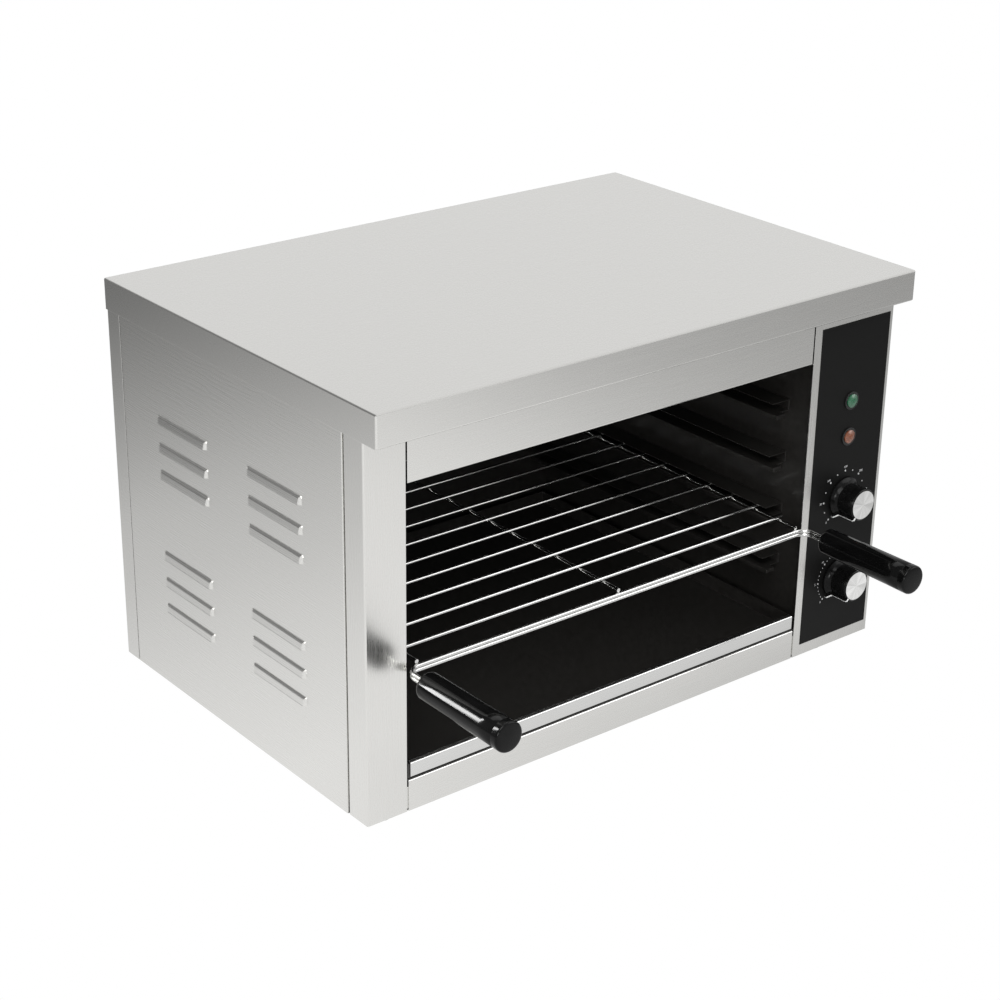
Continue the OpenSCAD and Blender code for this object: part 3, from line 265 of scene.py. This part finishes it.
class Shade:
    """A Principled material with helpers for noise in the row frame's coordinates."""

    def __init__(self, name, color, roughness, metallic=0.0, **sockets):
        self.mat = bpy.data.materials.new(name)
        self.tree = nodes_of(self.mat)
        self.out = self.tree.nodes.new("ShaderNodeOutputMaterial")
        self.bsdf = self.tree.nodes.new("ShaderNodeBsdfPrincipled")
        link(self.tree, self.bsdf, "BSDF", self.out, "Surface")
        self.bsdf.inputs["Base Color"].default_value = (*color, 1)
        self.bsdf.inputs["Roughness"].default_value = roughness
        self.bsdf.inputs["Metallic"].default_value = metallic
        for key, value in sockets.items():
            self.bsdf.inputs[key.replace("_", " ")].default_value = value
        self.color = color
        self.roughness = roughness
        self.height = None

    def noise(self, scale, detail=3.0, rough=0.55):
        """Noise stretched by scale, a triple of cycles a metre."""
        place = self.tree.nodes.new("ShaderNodeTexCoord")
        mapping = self.tree.nodes.new("ShaderNodeMapping")
        mapping.inputs["Scale"].default_value = scale
        noise = self.tree.nodes.new("ShaderNodeTexNoise")
        noise.inputs["Scale"].default_value = 1.0
        noise.inputs["Detail"].default_value = detail
        noise.inputs["Roughness"].default_value = rough
        link(self.tree, place, "Object", mapping, "Vector")
        link(self.tree, mapping, "Vector", noise, "Vector")
        return noise.outputs["Fac"]

    def ramp(self, value, low, high, low_at=0.3, high_at=0.7):
        node = self.tree.nodes.new("ShaderNodeMapRange")
        node.inputs["From Min"].default_value = low_at
        node.inputs["From Max"].default_value = high_at
        node.inputs["To Min"].default_value = low
        node.inputs["To Max"].default_value = high
        self.tree.links.new(value, node.inputs["Value"])
        return node.outputs["Result"]

    def tint(self, value, dark, light, low_at=0.3, high_at=0.7):
        """Base colour between two colours by a value."""
        node = self.tree.nodes.new("ShaderNodeValToRGB")
        node.color_ramp.elements[0].position = low_at
        node.color_ramp.elements[0].color = (*dark, 1)
        node.color_ramp.elements[1].position = high_at
        node.color_ramp.elements[1].color = (*light, 1)
        self.tree.links.new(value, node.inputs["Fac"])
        self.tree.links.new(node.outputs["Color"], self.bsdf.inputs["Base Color"])

    def vary_roughness(self, value, low, high):
        self.tree.links.new(self.ramp(value, low, high), self.bsdf.inputs["Roughness"])

    def bump(self, value, distance, strength=1.0):
        node = self.tree.nodes.new("ShaderNodeBump")
        node.inputs["Strength"].default_value = strength
        node.inputs["Distance"].default_value = distance
        self.tree.links.new(value, node.inputs["Height"])
        self.tree.links.new(node.outputs["Normal"], self.bsdf.inputs["Normal"])


def scaled(color, factor):
    return tuple(min(1.0, c * factor) for c in color)


def brushed(name, color, along, roughness=0.26, depth=0.000004):
    """Brushed sheet: fine lines along X, Y or Z, with slow cloudiness."""
    shade = Shade(name, color, roughness, metallic=1.0)
    fine = [2600.0, 2600.0, 2600.0]
    fine["XYZ".index(along)] = 25.0
    lines = shade.noise(fine, detail=2.0, rough=0.5)
    shade.tint(lines, scaled(color, 0.98), scaled(color, 1.02), 0.3, 0.7)
    shade.vary_roughness(lines, roughness - 0.02, roughness + 0.03)
    shade.bump(lines, depth, 0.3)
    return shade.mat


def spun(name, z):
    """Turned aluminium about a dial's axis at that height: fine rings, and painted highlight rays across
    them in the base colour.
    """
    shade = Shade(name, (0.93, 0.93, 0.92), 0.22, metallic=1.0)
    tree = shade.tree
    place = tree.nodes.new("ShaderNodeTexCoord")
    apart = tree.nodes.new("ShaderNodeVectorMath")
    apart.operation = "SUBTRACT"
    apart.inputs[1].default_value = (CONTROL_X, 0.0, z)
    parts = tree.nodes.new("ShaderNodeSeparateXYZ")
    turn = tree.nodes.new("ShaderNodeMath")
    turn.operation = "ARCTAN2"
    painted_highlight_rays = tree.nodes.new("ShaderNodeTexNoise")
    painted_highlight_rays.noise_dimensions = "1D"
    painted_highlight_rays.inputs["Scale"].default_value = 1.3
    painted_highlight_rays.inputs["Detail"].default_value = 3.0
    link(tree, place, "Object", apart, 0)
    link(tree, apart, "Vector", parts, "Vector")
    link(tree, parts, "Z", turn, 0)
    link(tree, parts, "X", turn, 1)
    link(tree, turn, "Value", painted_highlight_rays, "W")
    # painted highlight: lighter and darker rays round the axis, in the base colour
    shade.tint(painted_highlight_rays.outputs["Fac"], (0.74, 0.74, 0.73), (0.98, 0.98, 0.97), 0.35, 0.62)
    flat = tree.nodes.new("ShaderNodeCombineXYZ")
    reach = tree.nodes.new("ShaderNodeVectorMath")
    reach.operation = "LENGTH"
    rings = tree.nodes.new("ShaderNodeMath")
    rings.operation = "MULTIPLY"
    rings.inputs[1].default_value = 16000.0
    wave = tree.nodes.new("ShaderNodeMath")
    wave.operation = "SINE"
    link(tree, parts, "X", flat, "X")
    link(tree, parts, "Z", flat, "Z")
    link(tree, flat, "Vector", reach, 0)
    link(tree, reach, "Value", rings, 0)
    link(tree, rings, "Value", wave, 0)
    shade.bump(wave.outputs["Value"], 0.000004, 0.5)
    return shade.mat


def make_materials():
    m = {}
    steel = (0.70, 0.695, 0.675)
    m["steel_x"] = brushed("stainless_brushed_x", steel, "X")
    m["steel_y"] = brushed("stainless_brushed_y", steel, "Y")
    m["steel_z"] = brushed("stainless_brushed_z", steel, "Z")
    m["lip"] = brushed("stainless_lip", (0.66, 0.66, 0.65), "X")

    enamel = Shade("black_enamel", (0.016, 0.0148, 0.0135), 0.36, Coat_Weight=0.12, Coat_Roughness=0.12)
    peel = enamel.noise((220, 220, 220), detail=2.0)
    enamel.tint(peel, (0.012, 0.0112, 0.0102), (0.02, 0.0188, 0.0172))
    enamel.vary_roughness(peel, 0.3, 0.42)
    enamel.bump(peel, 0.00002)
    m["enamel"] = enamel.mat

    label = Shade("black_label", (0.005, 0.005, 0.005), 0.42, Specular_IOR_Level=0.1)
    grain = label.noise((2600, 2600, 2600), detail=2.0)
    label.tint(grain, (0.004, 0.004, 0.0039), (0.006, 0.006, 0.0058))
    label.vary_roughness(grain, 0.38, 0.48)
    label.bump(grain, 0.000004)
    m["label"] = label.mat

    chrome = Shade("chrome_wire", (0.6, 0.6, 0.59), 0.16, metallic=1.0)
    haze = chrome.noise((160, 160, 160), detail=3.0)
    chrome.tint(haze, (0.55, 0.55, 0.54), (0.66, 0.66, 0.65))
    chrome.vary_roughness(haze, 0.13, 0.22)
    m["chrome"] = chrome.mat

    grip = Shade("grip_black", (0.003, 0.003, 0.003), 0.1, Specular_IOR_Level=0.14)
    flow = grip.noise((90, 30, 90), detail=2.0)
    grip.tint(flow, (0.002, 0.002, 0.002), (0.0045, 0.0045, 0.0045))
    grip.vary_roughness(flow, 0.08, 0.13)
    m["grip"] = grip.mat

    knob = Shade("knob_black", (0.004, 0.004, 0.004), 0.2, Specular_IOR_Level=0.12)
    flow = knob.noise((300, 300, 300), detail=2.0)
    knob.tint(flow, (0.003, 0.003, 0.003), (0.006, 0.006, 0.006))
    knob.vary_roughness(flow, 0.16, 0.25)
    knob.bump(flow, 0.00001)
    m["knob"] = knob.mat

    plated = Shade("plated_steel", (0.6, 0.6, 0.61), 0.32, metallic=1.0)
    spots = plated.noise((700, 700, 700))
    plated.tint(spots, (0.52, 0.52, 0.53), (0.66, 0.66, 0.67))
    plated.vary_roughness(spots, 0.26, 0.4)
    m["plated"] = plated.mat

    sheath = Shade("heater_sheath", (0.14, 0.13, 0.12), 0.42, metallic=1.0)
    heat = sheath.noise((30, 120, 120), detail=4.0)
    sheath.tint(heat, (0.09, 0.08, 0.075), (0.2, 0.185, 0.17))
    sheath.vary_roughness(heat, 0.34, 0.52)
    m["sheath"] = sheath.mat

    brass = Shade("brass_turned", (0.62, 0.45, 0.18), 0.28, metallic=1.0)
    turned = brass.noise((800, 800, 800))
    brass.tint(turned, (0.54, 0.39, 0.15), (0.68, 0.5, 0.21))
    brass.vary_roughness(turned, 0.22, 0.36)
    m["brass"] = brass.mat

    for key, color in (("lens_green", (0.008, 0.085, 0.036)), ("lens_amber", (0.15, 0.043, 0.016))):
        lens = Shade(key, color, 0.14, Coat_Weight=0.7, Coat_Roughness=0.05)
        cells = lens.noise((900, 900, 900), detail=1.0)
        lens.tint(cells, scaled(color, 0.8), scaled(color, 1.25))
        lens.bump(cells, 0.00002)
        m[key] = lens.mat

    for key, color, rough in (
        ("black_plastic", (0.018, 0.018, 0.018), 0.45),
        ("pale_plastic", (0.6, 0.56, 0.47), 0.5),
        ("insulation", (0.12, 0.045, 0.02), 0.55),
        ("rubber", (0.012, 0.012, 0.012), 0.7),
        ("print_white", (0.5, 0.5, 0.5), 0.5),
        ("paint", (0.8, 0.8, 0.79), 0.45),
        ("bezel", (0.008, 0.008, 0.008), 0.25),
    ):
        plain = Shade(key, color, rough)
        grain = plain.noise((1200, 1200, 1200), detail=2.0)
        plain.tint(grain, scaled(color, 0.85), scaled(color, 1.15))
        plain.vary_roughness(grain, rough - 0.06, rough + 0.06)
        plain.bump(grain, 0.00001)
        m[key] = plain.mat

    for key, z in (("cap_temperature", THERMOSTAT_Z), ("cap_timer", TIMER_Z)):
        m[key] = spun(key, z)
    return m


LOOKS = {
    "steel_x": ["top_cover", "front_header", "front_fascia", "rear_panel", "base_plate", "tray_lip"],
    "steel_y": ["left_side_panel", "right_side_panel"],
    "steel_z": ["left_front_post", "control_column"],
    "enamel": ["left_chamber_wall", "right_chamber_wall", "chamber_back", "chamber_roof",
               "chamber_floor", "left_runners", "right_runners", "tray_pan"],
    "label": ["control_label"],
    "chrome": ["rack_upper_wire", "rack_lower_wire", "rack_long_wires", "rack_cross_wires"],
    "grip": ["left_grip", "right_grip"],
    "knob": ["temperature_knob", "timer_knob"],
    "cap_temperature": ["temperature_knob_cap"],
    "cap_timer": ["timer_knob_cap"],
    "plated": ["temperature_spindle", "timer_spindle", "control_screws", "foot_bolts", "foot_nuts",
               "rear_screws", "cover_screws", "heating_tube_hangers", "bulb_clips",
               "temperature_bulb"],
    "sheath": ["front_heating_tube", "rear_heating_tube"],
    "brass": ["heating_tube_bushes", "terminal_screws", "bonding_stud", "bonding_nut"],
    "lens_green": ["power_lamp_lens"],
    "lens_amber": ["heat_lamp_lens"],
    "black_plastic": ["power_lamp_body", "heat_lamp_body", "cable_gland", "gland_cap",
                      "gland_locknut", "timer"],
    "pale_plastic": ["thermostat", "terminal_block"],
    "insulation": ["wiring"],
    "rubber": ["gland_seal", "feet"],
}


def paint_nodes(m):
    """Gives every CAD node its material."""
    for key, names in LOOKS.items():
        for name in names:
            for slot in NODES[name].material_slots:
                slot.link = "OBJECT"
                slot.material = m[key]


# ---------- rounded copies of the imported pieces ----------

def face_width(face):
    """How wide a long narrow face is."""
    return 2 * face.calc_area() / max(1e-9, sum(e.calc_length() for e in face.edges))


def add_piece(name, bm, body, mat, smooth=True):
    """A new piece from bm that rides on a body and takes the given material."""
    mesh = bpy.data.meshes.new(name)
    bm.to_mesh(mesh)
    bm.free()
    for polygon in mesh.polygons:
        polygon.use_smooth = smooth
    mesh.materials.append(mat)
    piece = bpy.data.objects.new(name, mesh)
    bpy.context.scene.collection.objects.link(piece)
    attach(piece, body)
    return piece


def rounded(node, mat, wide, fine=0.0003, soft=0, turn=9, long=0.02, thin=0.0013):
    """A copy of a node whose folds are rounded by wide and whose cut edges are eased by fine."""
    bm = bmesh.new()
    bm.from_mesh(NODES[node].data)
    bmesh.ops.remove_doubles(bm, verts=bm.verts, dist=0.000005)
    bmesh.ops.dissolve_limit(bm, angle_limit=math.radians(0.4), verts=bm.verts, edges=bm.edges)
    weight = bm.edges.layers.float.new("bevel_weight_edge")
    for edge in bm.edges:
        if len(edge.link_faces) != 2:
            continue
        angle = math.degrees(edge.calc_face_angle(0.0))
        edge.smooth = angle < soft
        if angle < turn:
            continue
        least = min(face_width(f) for f in edge.link_faces)
        if least > thin and edge.calc_length() > long:
            edge[weight] = 1.0
        elif least > 2.2 * fine and edge.calc_length() > 3 * fine:
            edge[weight] = fine / wide
    piece = add_piece(node + "_dressed", bm, BODY_OF[node], mat, smooth=soft > 0)
    bevel = piece.modifiers.new("folds", "BEVEL")
    bevel.limit_method = "WEIGHT"
    bevel.offset_type = "OFFSET"
    bevel.width = wide
    bevel.segments = 3
    bevel.use_clamp_overlap = False
    bevel.harden_normals = soft > 0
    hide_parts(node)
    return piece


def dress_nodes(m):
    """Rounded copies of the sheets, the enamelled pieces, the label, the knobs and the lamps."""
    for node, key in (("top_cover", "steel_x"), ("front_header", "steel_x"), ("front_fascia", "steel_x"),
                      ("rear_panel", "steel_x"), ("tray_lip", "lip"), ("left_front_post", "steel_z"),
                      ("control_column", "steel_z"), ("left_side_panel", "steel_y"),
                      ("right_side_panel", "steel_y")):
        piece = rounded(node, m[key], 0.0014)
        if node == "top_cover":
            # the high lamps would stand in the lid as white patches
            CALM.objects.link(piece)
            CALM.collection_objects[0].light_linking.link_state = "EXCLUDE"
    for node in ("left_runners", "right_runners", "tray_pan"):
        rounded(node, m["enamel"], 0.0006, fine=0.0002, long=0.004, thin=0.0009)
    rounded("control_label", m["label"], 0.0003, fine=0.0001, long=0.001, thin=0.0002)
    for node in ("temperature_knob", "timer_knob"):
        rounded(node, m["knob"], 0.0007, soft=30, turn=14, long=0.0005, thin=0.0009)
    for node in ("power_lamp_body", "heat_lamp_body"):
        rounded(node, m["bezel"], 0.0004, soft=30, turn=40, long=0.0005, thin=0.0008)


# ---------- pieces in detail ----------

def lathe(bm, profile, middle, segments=64):
    """A closed turned form about an axis along -Y.

    The profile is (radius, distance forwards) from pole to pole.
    """
    rings = []
    for radius, ahead in profile:
        if radius < 1e-9:
            rings.append([bm.verts.new((middle[0], middle[1] - ahead, middle[2]))])
            continue
        ring = []
        for k in range(segments):
            turn = 2 * math.pi * k / segments
            ring.append(bm.verts.new((middle[0] + radius * math.sin(turn), middle[1] - ahead,
                                      middle[2] + radius * math.cos(turn))))
        rings.append(ring)
    for lower, upper in zip(rings, rings[1:]):
        for k in range(segments):
            nxt = (k + 1) % segments
            if len(lower) == 1:
                bm.faces.new((lower[0], upper[nxt], upper[k]))
            elif len(upper) == 1:
                bm.faces.new((lower[k], lower[nxt], upper[0]))
            else:
                bm.faces.new((lower[k], lower[nxt], upper[nxt], upper[k]))
    return rings


def arc(middle, radius, start, end, steps):
    """Points of an arc in (radius, distance) space, by angles in degrees."""
    points = []
    for k in range(steps + 1):
        turn = math.radians(start + (end - start) * k / steps)
        points.append((middle[0] + radius * math.cos(turn), middle[1] + radius * math.sin(turn)))
    return points


def sharpen(piece, limit):
    """Turns the faces outwards and marks edges of limit degrees and more as sharp."""
    mesh = piece.data
    bm = bmesh.new()
    bm.from_mesh(mesh)
    bmesh.ops.recalc_face_normals(bm, faces=bm.faces)
    for edge in bm.edges:
        if len(edge.link_faces) == 2:
            edge.smooth = math.degrees(edge.calc_face_angle(0.0)) < limit
    bm.to_mesh(mesh)
    bm.free()


def make_grip(node, mat):
    """A grip turned again with a fine groove behind its front end."""
    low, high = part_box(node)
    middle = ((low[0] + high[0]) / 2, high[1], (low[2] + high[2]) / 2)
    length = high[1] - low[1]
    rear_r, front_r, rear_round = 0.012, (high[0] - low[0]) / 2, 0.005
    collar = length - 0.008
    collar_r = rear_r + (front_r - rear_r) * collar / length
    profile = [(0.0, 0.0)]
    profile += arc((rear_r - rear_round, rear_round), rear_round, -90, 0, 8)
    for k in range(1, 7):
        ahead = rear_round + (collar - 0.0055) * (k / 6)
        profile.append((rear_r + (collar_r - rear_r) * ahead / collar, ahead))
    profile += [(collar_r - 0.0003, collar - 0.0002), (collar_r - 0.0003, collar + 0.0002),
                (collar_r + 0.0001, collar + 0.0005)]
    profile += arc((front_r - 0.002, length - 0.0026), 0.002, 0, 78, 7)
    edge_r = front_r - 0.0022
    for k in range(1, 6):
        radius = edge_r * (1 - k / 6)
        profile.append((radius, length - 0.0006 * (radius / edge_r) ** 2))
    profile.append((0.0, length))
    bm = bmesh.new()
    lathe(bm, profile, middle, 72)
    piece = add_piece(node + "_turned", bm, BODY_OF[node], mat)
    GLOSSY.objects.link(piece)
    sharpen(piece, 50)
    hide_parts(node)


def make_lens(node, mat):
    """A lamp's lens cut with facets under its dome."""
    low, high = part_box(node)
    middle = ((low[0] + high[0]) / 2, high[1], (low[2] + high[2]) / 2)
    length = high[1] - low[1]
    radius = (high[0] - low[0]) / 2
    sectors, rings, dome_h = 18, 5, 0.002
    bm = bmesh.new()
    outer = [bm.verts.new((middle[0] + radius * math.sin(2 * math.pi * k / sectors), middle[1],
                           middle[2] + radius * math.cos(2 * math.pi * k / sectors)))
             for k in range(sectors)]
    bm.faces.new(list(reversed(outer)))
    for j in range(rings + 1):
        out_r = radius * (1 - 0.93 * j / rings)
        ring = []
        for k in range(sectors):
            turn = 2 * math.pi * (k + 0.5 * (j % 2)) / sectors
            dome = length - dome_h * (out_r / radius) ** 2
            ring.append(bm.verts.new((middle[0] + out_r * math.sin(turn), middle[1] - dome,
                                      middle[2] + out_r * math.cos(turn))))
        for k in range(sectors):
            nxt = (k + 1) % sectors
            if j == 0:
                bm.faces.new((outer[k], outer[nxt], ring[nxt], ring[k]))
            elif j % 2:
                bm.faces.new((outer[k], outer[nxt], ring[k]))
                bm.faces.new((outer[nxt], ring[nxt], ring[k]))
            else:
                bm.faces.new((outer[k], outer[nxt], ring[nxt]))
                bm.faces.new((outer[k], ring[nxt], ring[k]))
        outer = ring
    bm.faces.new(outer)
    bmesh.ops.recalc_face_normals(bm, faces=bm.faces)
    piece = add_piece(node + "_cut", bm, BODY_OF[node], mat, smooth=False)
    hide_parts(node)


def add_dot(bm, x, z, radius):
    """A printed dot on the label."""
    outline = [(0.0, 0.0), (radius, 0.0), (radius, PRINT_PROUD), (0.0, PRINT_PROUD)]
    lathe(bm, outline, (x, LABEL_Y + 0.000005, z), 14)


def add_number(bm, digits, x, z, size):
    """A printed number on the label."""
    curve = bpy.data.curves.new("number", "FONT")
    curve.body = digits
    curve.size = size
    curve.extrude = 0.00002
    curve.align_x = "CENTER"
    curve.align_y = "CENTER"
    curve.resolution_u = 3
    text = bpy.data.objects.new("number", curve)
    mesh = bpy.data.meshes.new_from_object(text)
    mesh.transform(Matrix.Translation((x, LABEL_Y - 0.00002, z)) @ Matrix.Rotation(math.pi / 2, 4, "X"))
    bm.from_mesh(mesh)
    bpy.data.meshes.remove(mesh)
    bpy.data.objects.remove(text)
    bpy.data.curves.remove(curve)


def make_scale(name, z, steps, every, values, ring_r, far_r, big, small, size, mat):
    """Printed dots round a dial, with a plain number at every so many."""
    bm = bmesh.new()
    for k in range(steps + 1):
        turn = math.radians(SCALE_START + SCALE_SWEEP * k / steps)
        main = k % every == 0
        add_dot(bm, CONTROL_X + ring_r * math.sin(turn), z + ring_r * math.cos(turn),
                big if main else small)
        if main:
            add_number(bm, values[k // every], CONTROL_X + far_r * math.sin(turn),
                       z + far_r * math.cos(turn), size)
    piece = add_piece(name, bm, "casing", mat, smooth=False)
    sharpen(piece, 30)


def make_pointer(name, body, z, mat):
    """White paint along a knob's raised pointer, from the nib to the line on its cap's edge."""
    outline = [(0.022, 0.0002), (0.022, 0.0016), (0.0176, 0.006), (0.0176, 0.023), (0.0166, 0.024),
               (0.0139, 0.024)]
    proud, half = 0.00006, 0.00085
    turn = math.radians(POINTER_TURN)
    bm = bmesh.new()
    loops = []
    for k, (radius, ahead) in enumerate(outline):
        before = Vector(outline[max(0, k - 1)])
        after = Vector(outline[min(len(outline) - 1, k + 1)])
        along = (after - before).normalized()
        out = Vector((along[1], -along[0]))
        loop = []
        for lift, side in ((-proud, -half), (-proud, half), (proud, half), (proud, -half)):
            r = radius + out[0] * lift
            a = ahead + out[1] * lift
            x = r * math.sin(turn) + side * math.cos(turn)
            h = r * math.cos(turn) - side * math.sin(turn)
            loop.append(bm.verts.new((CONTROL_X + x, KNOB_Y - a, z + h)))
        loops.append(loop)
    for one, two in zip(loops, loops[1:]):
        for k in range(4):
            nxt = (k + 1) % 4
            bm.faces.new((one[k], one[nxt], two[nxt], two[k]))
    bm.faces.new(list(reversed(loops[0])))
    bm.faces.new(loops[-1])
    bmesh.ops.recalc_face_normals(bm, faces=bm.faces)
    add_piece(name, bm, body, mat, smooth=False)


make_camera()
make_floor()
make_world()
make_lights()
MATERIALS = make_materials()
paint_nodes(MATERIALS)
dress_nodes(MATERIALS)
make_grip("left_grip", MATERIALS["grip"])
make_grip("right_grip", MATERIALS["grip"])
make_lens("power_lamp_lens", MATERIALS["lens_green"])
make_lens("heat_lamp_lens", MATERIALS["lens_amber"])
make_scale("temperature_scale", THERMOSTAT_Z, 12, 2, ["0", "50", "100", "150", "200", "250", "300"],
           0.0255, 0.0292, 0.0009, 0.00065, 0.003, MATERIALS["print_white"])
make_scale("timer_scale", TIMER_Z, 30, 5, ["0", "5", "10", "15", "20", "25", "30"],
           0.0248, 0.0286, 0.00085, 0.0005, 0.003, MATERIALS["print_white"])
make_pointer("temperature_pointer", "temperature_dial", THERMOSTAT_Z, MATERIALS["paint"])
make_pointer("timer_pointer", "timer_dial", TIMER_Z, MATERIALS["paint"])

scene = bpy.context.scene
scene.view_settings.view_transform = "Standard"
